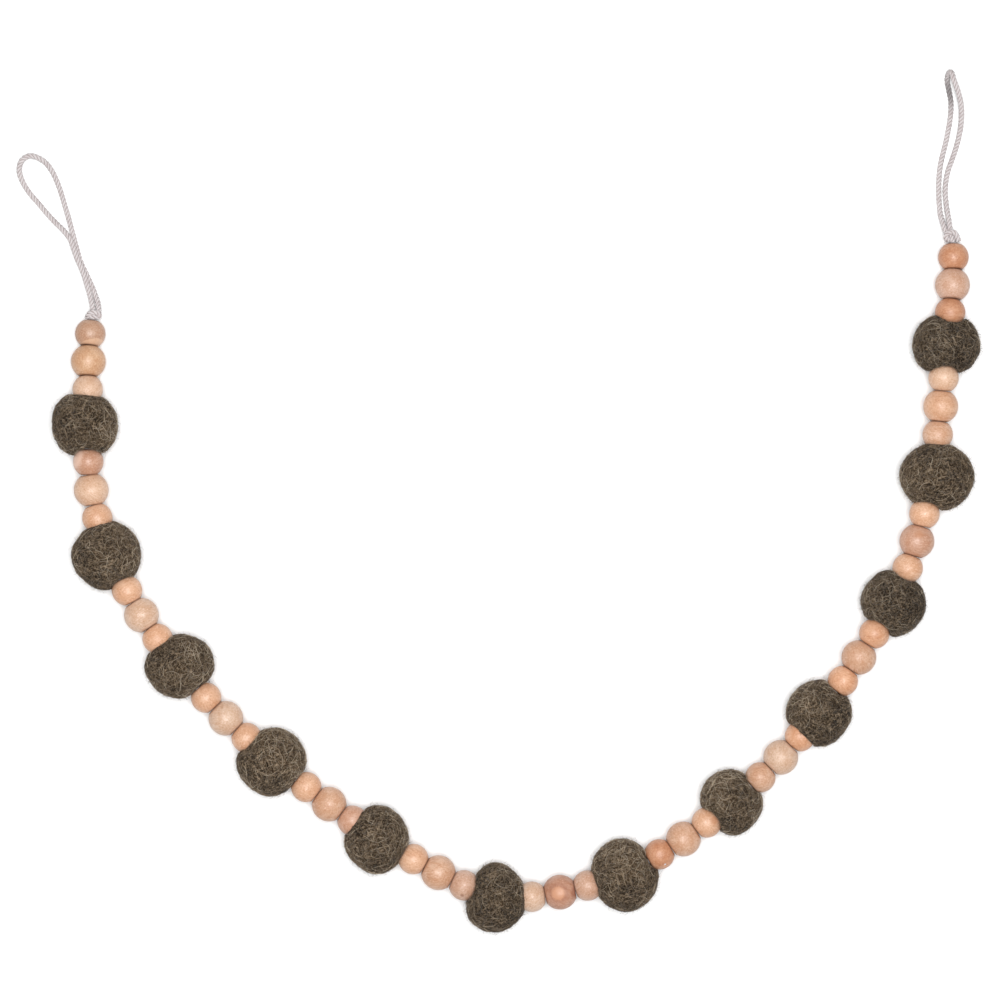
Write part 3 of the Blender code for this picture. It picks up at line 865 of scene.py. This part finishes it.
# How far the felt opens above the bead before and after each ball, and the wool's lightness.
FELT_OPENINGS = (
    (0.0, 1.0, 1.00), (0.0, 0.8, 1.02), (0.0, 1.0, 1.02), (0.2, 0.6, 1.05),
    (0.0, 0.2, 1.01), (0.6, 0.0, 0.96), (0.2, 0.9, 1.02), (0.8, 0.9, 1.00),
    (0.0, 1.0, 1.00), (0.8, 0.8, 0.91), (0.7, 0.0, 1.02), (0.7, 1.0, 0.92),
)
# Each ball, as in the CAD: x, y, top, then its reach to the east, north-east and on round.
FELT_SHAPES = (
    (-198.0, 74.3, 29.0, 15.2, 14.9, 14.4, 15.8, 14.7, 15.2, 14.6, 15.4),
    (-187.9, 14.1, 29.6, 15.5, 16.0, 16.2, 15.5, 15.8, 15.3, 15.8, 15.4),
    (-154.5, -36.8, 29.2, 15.9, 15.6, 14.9, 14.6, 16.1, 14.7, 14.7, 14.0),
    (-112.1, -80.4, 29.8, 15.9, 15.5, 15.5, 14.2, 16.1, 15.4, 15.8, 14.4),
    (-63.8, -116.4, 28.8, 14.7, 15.0, 15.6, 14.4, 14.9, 14.7, 15.5, 14.6),
    (-8.9, -142.8, 29.2, 14.2, 13.8, 15.8, 13.8, 13.6, 15.9, 15.8, 14.7),
    (50.4, -132.9, 30.4, 15.5, 14.6, 16.7, 16.6, 15.5, 15.4, 16.4, 15.8),
    (99.2, -99.2, 28.6, 14.1, 13.8, 15.0, 15.0, 14.0, 13.2, 15.2, 14.4),
    (139.7, -58.1, 28.8, 14.6, 14.6, 15.0, 14.7, 15.2, 13.8, 15.5, 14.4),
    (173.9, -7.5, 29.2, 14.5, 14.2, 15.2, 14.9, 15.0, 13.8, 15.2, 14.6),
    (193.8, 50.2, 30.0, 16.8, 16.2, 16.0, 16.6, 17.0, 16.0, 15.2, 16.0),
    (197.8, 111.6, 28.4, 15.5, 14.8, 13.8, 14.6, 14.9, 15.2, 13.8, 15.4),
)

# Darker and lighter places in the felt: ball, right and up of its middle and the
# reach in millimetres, then the change of tone.
FELT_PATCHES = (
    (1, -7.6, 2.5, 6.0, -0.5), (1, 10.0, -6.5, 5.0, 0.3), (1, 0.0, -11.0, 4.0, -0.3),
    (2, -10.7, 0.5, 5.0, -0.6), (2, -3.7, -11.0, 4.5, -0.6), (2, 0.0, 0.0, 6.0, 0.3),
    (3, -11.5, 4.5, 4.0, -0.4), (3, -6.0, -1.0, 5.0, -0.3), (3, 3.4, -1.0, 6.0, 0.3),
    (3, -1.3, -11.0, 4.0, -0.3),
    (4, -1.3, -9.6, 5.0, -0.5), (4, 4.0, -6.5, 4.0, -0.4), (4, -11.5, -1.8, 4.0, -0.3),
    (4, 1.0, 2.0, 6.0, 0.3),
    (5, -7.6, 6.8, 4.0, -0.6), (5, 0.2, -8.8, 4.0, -0.4), (5, 5.7, 10.7, 4.0, -0.3),
    (5, 0.0, 1.0, 5.0, 0.3),
    (6, -6.8, 10.7, 4.5, -0.6), (6, -8.4, -2.6, 5.0, -0.5), (6, -0.5, -12.7, 5.0, -0.5),
    (6, 8.0, -6.5, 5.0, -0.4), (6, 1.0, 2.0, 5.0, 0.4),
    (7, 1.8, 5.2, 5.0, 0.7), (7, 0.2, -4.9, 6.0, -0.5), (7, 0.0, -13.5, 5.0, -0.4),
    (8, -6.8, 9.0, 7.0, 0.6), (8, -0.5, -9.6, 6.0, -0.5),
    (9, 9.6, 0.5, 5.0, -0.6), (9, 4.0, -10.4, 5.0, -0.4), (9, -9.0, 3.7, 7.0, 0.35),
    (10, -6.8, 6.8, 5.0, -0.4), (10, 9.6, 0.0, 6.0, -0.5), (10, 4.0, -5.0, 5.0, -0.4),
    (10, -12.0, 3.0, 3.0, 0.6), (10, 0.0, 12.0, 4.0, 0.3),
    (11, -6.0, 10.0, 3.5, -0.7), (11, -10.7, -1.8, 4.0, -0.3), (11, 7.3, 0.5, 4.0, -0.5),
    (11, 1.0, -11.0, 5.0, -0.5),
    (12, 1.0, 8.4, 4.0, -0.4), (12, 8.0, -7.3, 5.0, -0.5), (12, 1.0, -9.6, 4.0, -0.4),
    (12, 12.0, 0.0, 4.0, -0.3),
)
# The tones of the loose fibres, from the darkest to the palest.
STRANDS = {
    "dark": (36, 28, 20), "mid": (71, 57, 41), "light": (123, 105, 83), "pale": (181, 165, 143),
}
STRAND_STEPS = (0.35, 0.65, 0.95)


def wool_tones_and_rim_light(points, normals, ball, x, y):
    """How light the wool is at each point in millimetres, 0 to 1, with painted rim light at the
    sides.
    """
    tones = np.array([0.5 + 0.4 * noise.noise(Vector(point) / 8.0) for point in points])
    # Painted rim light: the steeper the surface, the paler the felt and the fibres picked there.
    tones += 0.30 * (1.0 - np.abs(normals[:, 2])) ** 2
    for number, right, up, reach, change in FELT_PATCHES:
        if number == ball:
            away = np.hypot(points[:, 0] - x - right, points[:, 1] - y - up)
            tones += change * np.exp(-(away / reach) ** 2)
    return np.clip(tones, 0.0, 1.0)


def strand_shades(tones, shift):
    """Which strand tone each fibre takes: darker places have more dark fibres."""
    return np.digitize(tones * 0.5 + random.random(len(tones)) * 0.75 + shift, STRAND_STEPS)


def smooth_reach(reaches, azimuth):
    """The lump's reach at each compass angle, smooth between the eight given ones."""
    reaches = np.asarray(reaches)
    place = (azimuth / (2.0 * math.pi) * 8.0) % 8.0
    index = place.astype(int)
    t = place - index
    before, start = reaches[(index - 1) % 8], reaches[index % 8]
    end, after = reaches[(index + 1) % 8], reaches[(index + 2) % 8]
    return catmull_rom(before, start, end, after, t)


def felt_points(shape, start, end, neighbours, openings):
    """Rings of points from the forward hole's rim, over the lump, to the other rim."""
    x, y, top = shape[:3]
    middle = np.array((start + end) / 2.0)
    forward, side, up = (np.array(way) for way in axis_frame(end - start))
    polar = np.linspace(FELT_POLE, math.pi - FELT_POLE, FELT_ROWS_AROUND)
    polar = np.concatenate([[0.0], polar, [math.pi]])
    turn = np.arange(FELT_SEGMENTS) * 2.0 * math.pi / FELT_SEGMENTS - math.pi / 2.0
    across = np.cos(turn)[:, None] * side + np.sin(turn)[:, None] * up
    ways = np.cos(polar)[:, None, None] * forward + np.sin(polar)[:, None, None] * across[None]
    ways = ways.reshape(-1, 3)
    low, high = np.zeros(len(ways)), np.full(len(ways), FELT_FARTHEST)
    for _ in range(26):
        reach = (low + high) / 2.0
        offset = middle + ways * reach[:, None] - np.array((x, y, FELT_CENTRE_HEIGHT))
        outline = smooth_reach(shape[3:], np.arctan2(offset[:, 1], offset[:, 0]))
        flat = np.hypot(offset[:, 0], offset[:, 1]) / outline
        inside = flat ** 2 + (offset[:, 2] / (top - FELT_CENTRE_HEIGHT)) ** 2 < 1.0
        low, high = np.where(inside, reach, low), np.where(inside, high, reach)
    reach = high
    points = middle + ways * reach[:, None]
    reach = reach + np.array([
        sum(lump * noise.noise(Vector(point) / size) for lump, size in FELT_LUMPS)
        for point in points
    ])
    for centre, opening in zip(neighbours, openings):
        # The bead's hollow in the felt: a ball drawn out upwards where the felt opens above it.
        squeeze = np.array((1.0, 1.0, 1.0 / (1.0 + FELT_OPENING_DRAWN * opening)))
        toward = (np.array(centre) - middle) * squeeze
        rays = ways * np.where(ways[:, 2:] > 0.0, squeeze, 1.0)
        size = (rays ** 2).sum(axis=1)
        along = rays @ toward
        keep_off = SMALL_DIAMETER / 2.0 + FELT_PRESS
        square = along ** 2 - size * (toward @ toward - keep_off ** 2)
        reached = (along - np.sqrt(np.maximum(square, 0.0))) / size
        hit = np.where((square > 0.0) & (along > 0.0), reached, NEVER)
        # Close round the string the felt comes up to the bead's flat end.
        joint = np.array(end if centre is neighbours[1] else start)
        bead_axis = np.array(centre) - joint
        bead_axis /= np.linalg.norm(bead_axis)
        facing = ways @ bead_axis
        flat_end = ((joint - middle) @ bead_axis - FELT_END_GAP) / np.maximum(facing, 0.1)
        close = np.clip((facing - FELT_END_RIM) / (FELT_END_CORE - FELT_END_RIM), 0.0, 1.0)
        hit = hit + (np.maximum(hit, flat_end) - hit) * close
        # A soft minimum of the two, so that the felt swells round the bead.
        share = np.clip(0.5 + (hit - reach) / (2.0 * FELT_PRESS_BLEND), 0.0, 1.0)
        reach = hit * (1.0 - share) + reach * share - FELT_PRESS_BLEND * share * (1.0 - share)
    points = middle + ways * reach[:, None]
    points = points.reshape(len(polar), FELT_SEGMENTS, 3)
    points[0] += across * FELT_HOLE
    points[-1] += across * FELT_HOLE
    points[:, :, 2] = np.maximum(points[:, :, 2], 0.0)
    return points.reshape(-1, 3)


def walk_fibres(surface, starts, start_normals, points, step, curl, lift):
    """Curled lines over a surface: a step at a time along it, turning a little each time."""
    count = len(starts)
    lines = np.empty((count, points, 3))
    ups = np.empty((count, points, 3))
    for fibre in range(count):
        place = Vector(starts[fibre])
        normal = Vector(start_normals[fibre])
        way = normal.orthogonal().normalized()
        way = Matrix.Rotation(random.uniform(0.0, 2.0 * math.pi), 3, normal) @ way
        turn = random.normal(0.0, curl)
        length = step * random.uniform(0.6, 1.4)
        for index in range(points):
            share = index / (points - 1)
            height = lift[fibre] * math.sin(math.pi * share) - FIBRE_SUNK
            lines[fibre, index] = place + normal * height
            ups[fibre, index] = normal
            turn += random.normal(0.0, curl * 0.4)
            way = Matrix.Rotation(turn, 3, normal) @ way
            found = surface.find_nearest(place + way * length)
            place, normal = found[0], found[1]
            way = (way - normal * way.dot(normal)).normalized()
    return lines, ups


ball_number = 0
for link, kind in enumerate(kinds):
    if kind != "felt":
        continue
    ball_number += 1
    node_name = "felt_ball_%02d" % ball_number
    start, end = joints[link], joints[link + 1]
    neighbours = ((joints[link - 1] + start) / 2.0, (end + joints[link + 2]) / 2.0)
    *openings, lightness = FELT_OPENINGS[ball_number - 1]
    corners = felt_points(FELT_SHAPES[ball_number - 1], start, end, neighbours, openings) * MM
    faces = grid_faces(len(corners) // FELT_SEGMENTS, FELT_SEGMENTS, closed=True)
    look = felt_material("wool_felt_look_%02d" % ball_number, ball_number * 1.37, lightness)
    ball = add_mesh("wool_ball_%02d" % ball_number, corners, faces, look)
    vertex_normals = np.empty(len(corners) * 3)
    ball.data.vertices.foreach_get("normal", vertex_normals)
    vertex_normals = vertex_normals.reshape(-1, 3)
    x, y = FELT_SHAPES[ball_number - 1][:2]
    tones = wool_tones_and_rim_light(corners / MM, vertex_normals, ball_number, x, y)
    add_attribute(ball.data, "tone", tones)
    strand_materials = [
        fibre_material("wool_fibre_%s_%02d" % (tone_name, ball_number), colour, lightness)
        for tone_name, colour in STRANDS.items()
    ]
    stand_for(ball, node_name)

    surface = BVHTree.FromPolygons([tuple(corner) for corner in corners], faces)
    middle = np.array((start + end) / 2.0) * MM
    axis = np.array((end - start).normalized())
    # Fibres start anywhere on the outside: not in the hole, and not on the flat spot.
    # Points crowd towards the hole, so each is picked in proportion to its ring's size.
    offset = corners - middle
    from_axis = np.linalg.norm(offset - np.outer(offset @ axis, axis), axis=1)
    outside = (from_axis > ROUND_THE_HOLE) & (corners[:, 2] > FLAT_SPOT)
    weight = np.where(outside, from_axis, 0.0)
    numbers = [fibre_kind[1] for fibre_kind in FIBRE_KINDS]
    picked = random.choice(len(corners), sum(numbers) + FUZZ_PER_BALL, p=weight / weight.sum())
    *lying_ones, fuzz_ones = np.split(picked, np.cumsum(numbers))
    for ones, fibre_kind in zip(lying_ones, FIBRE_KINDS):
        kind_name, _, count, step, curl, highest, thinnest, thickest, shift = fibre_kind
        lift = random.uniform(LOWEST_LIFT, highest, len(ones))
        starts, start_normals = corners[ones], vertex_normals[ones]
        lines, ups = walk_fibres(surface, starts, start_normals, count, step, curl, lift)
        thickness = random.uniform(thinnest, thickest, len(ones))
        taper = 0.45 + 0.55 * np.sin(np.linspace(0.15, math.pi - 0.15, count))
        shades = strand_shades(tones[ones], shift)
        lines[:, :, 2] = np.maximum(lines[:, :, 2], LOWEST_FIBRE)
        fibres = add_fibres("wool_%s_%02d" % (kind_name, ball_number), lines, ups,
                            thickness[:, None] * taper[None], strand_materials, shades)
        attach(fibres, "root")

    # Fly-away hairs that stand off the ball: each leans one way and bends another.
    share = np.linspace(0.0, 1.0, FUZZ_POINTS)
    hair_normals = vertex_normals[fuzz_ones]
    sideways = np.cross(hair_normals, random.normal(size=(FUZZ_PER_BALL, 3)))
    sideways /= np.linalg.norm(sideways, axis=1, keepdims=True)
    reach = SHORTEST_HAIR + HAIR_SPREAD * random.random(FUZZ_PER_BALL) ** 2
    lean = random.uniform(0.4, 1.4, FUZZ_PER_BALL)
    bend = random.uniform(-0.8, 0.8, FUZZ_PER_BALL)
    other = np.cross(hair_normals, sideways)
    out = reach[:, None] * np.sin(share * 1.5)[None] * 0.75
    over = (reach * lean)[:, None] * share[None]
    aside = (reach * bend)[:, None] * (share ** 2)[None]
    hairs = (corners[fuzz_ones][:, None] - hair_normals[:, None] * HAIR_SUNK
             + hair_normals[:, None] * out[:, :, None]
             + sideways[:, None] * over[:, :, None]
             + other[:, None] * aside[:, :, None])
    hairs[:, :, 2] = np.maximum(hairs[:, :, 2], LOWEST_HAIR)
    thickness = random.uniform(*HAIR_RADII, FUZZ_PER_BALL)
    hair_radii = thickness[:, None] * (1.0 - 0.6 * share)[None]
    hair_ups = np.repeat(other[:, None], FUZZ_POINTS, axis=1)
    hair_shades = strand_shades(tones[fuzz_ones], 0.0)
    fuzz = add_fibres("wool_fuzz_%02d" % ball_number, hairs, hair_ups, hair_radii,
                      strand_materials, hair_shades)
    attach(fuzz, "root")

# ---------------------------------------------------------------- floor and light
FLOOR_SIZE = 3.0
FLOOR_SHADE = 0.93
WORLD_STRENGTH = 0.24
SOFTBOX_PLACE = (0.03, 0.03, 1.9)
SOFTBOX_TARGET = (0.0, 0.04, 0.0)
SOFTBOX_SIZE = 0.8
SOFTBOX_POWER = 45.0

floor_corners = ((-1, -1), (1, -1), (1, 1), (-1, 1))
floor_points = [(x * FLOOR_SIZE, y * FLOOR_SIZE, 0.0) for x, y in floor_corners]
floor_look, _, shader = new_material("floor_look")
set_inputs(shader, {"Base Color": (FLOOR_SHADE, FLOOR_SHADE, FLOOR_SHADE, 1.0), "Roughness": 0.9})
floor = add_mesh("floor", floor_points, [(0, 1, 2, 3)], floor_look)

world = bpy.data.worlds.new("studio")
bpy.context.scene.world = world
world.use_nodes = True
background = world.node_tree.nodes["Background"]
set_inputs(background, {"Color": (1.0, 1.0, 1.0, 1.0), "Strength": WORLD_STRENGTH})

softbox_data = bpy.data.lights.new("softbox", "AREA")
softbox_data.shape = "SQUARE"
softbox_data.size = SOFTBOX_SIZE
softbox_data.energy = SOFTBOX_POWER
softbox = bpy.data.objects.new("softbox", softbox_data)
softbox.location = SOFTBOX_PLACE
softbox.rotation_mode = "QUATERNION"
aim = Vector(SOFTBOX_TARGET) - Vector(SOFTBOX_PLACE)
softbox.rotation_quaternion = aim.to_track_quat("-Z", "Y")
bpy.context.scene.collection.objects.link(softbox)

bpy.context.scene.view_settings.view_transform = "Standard"
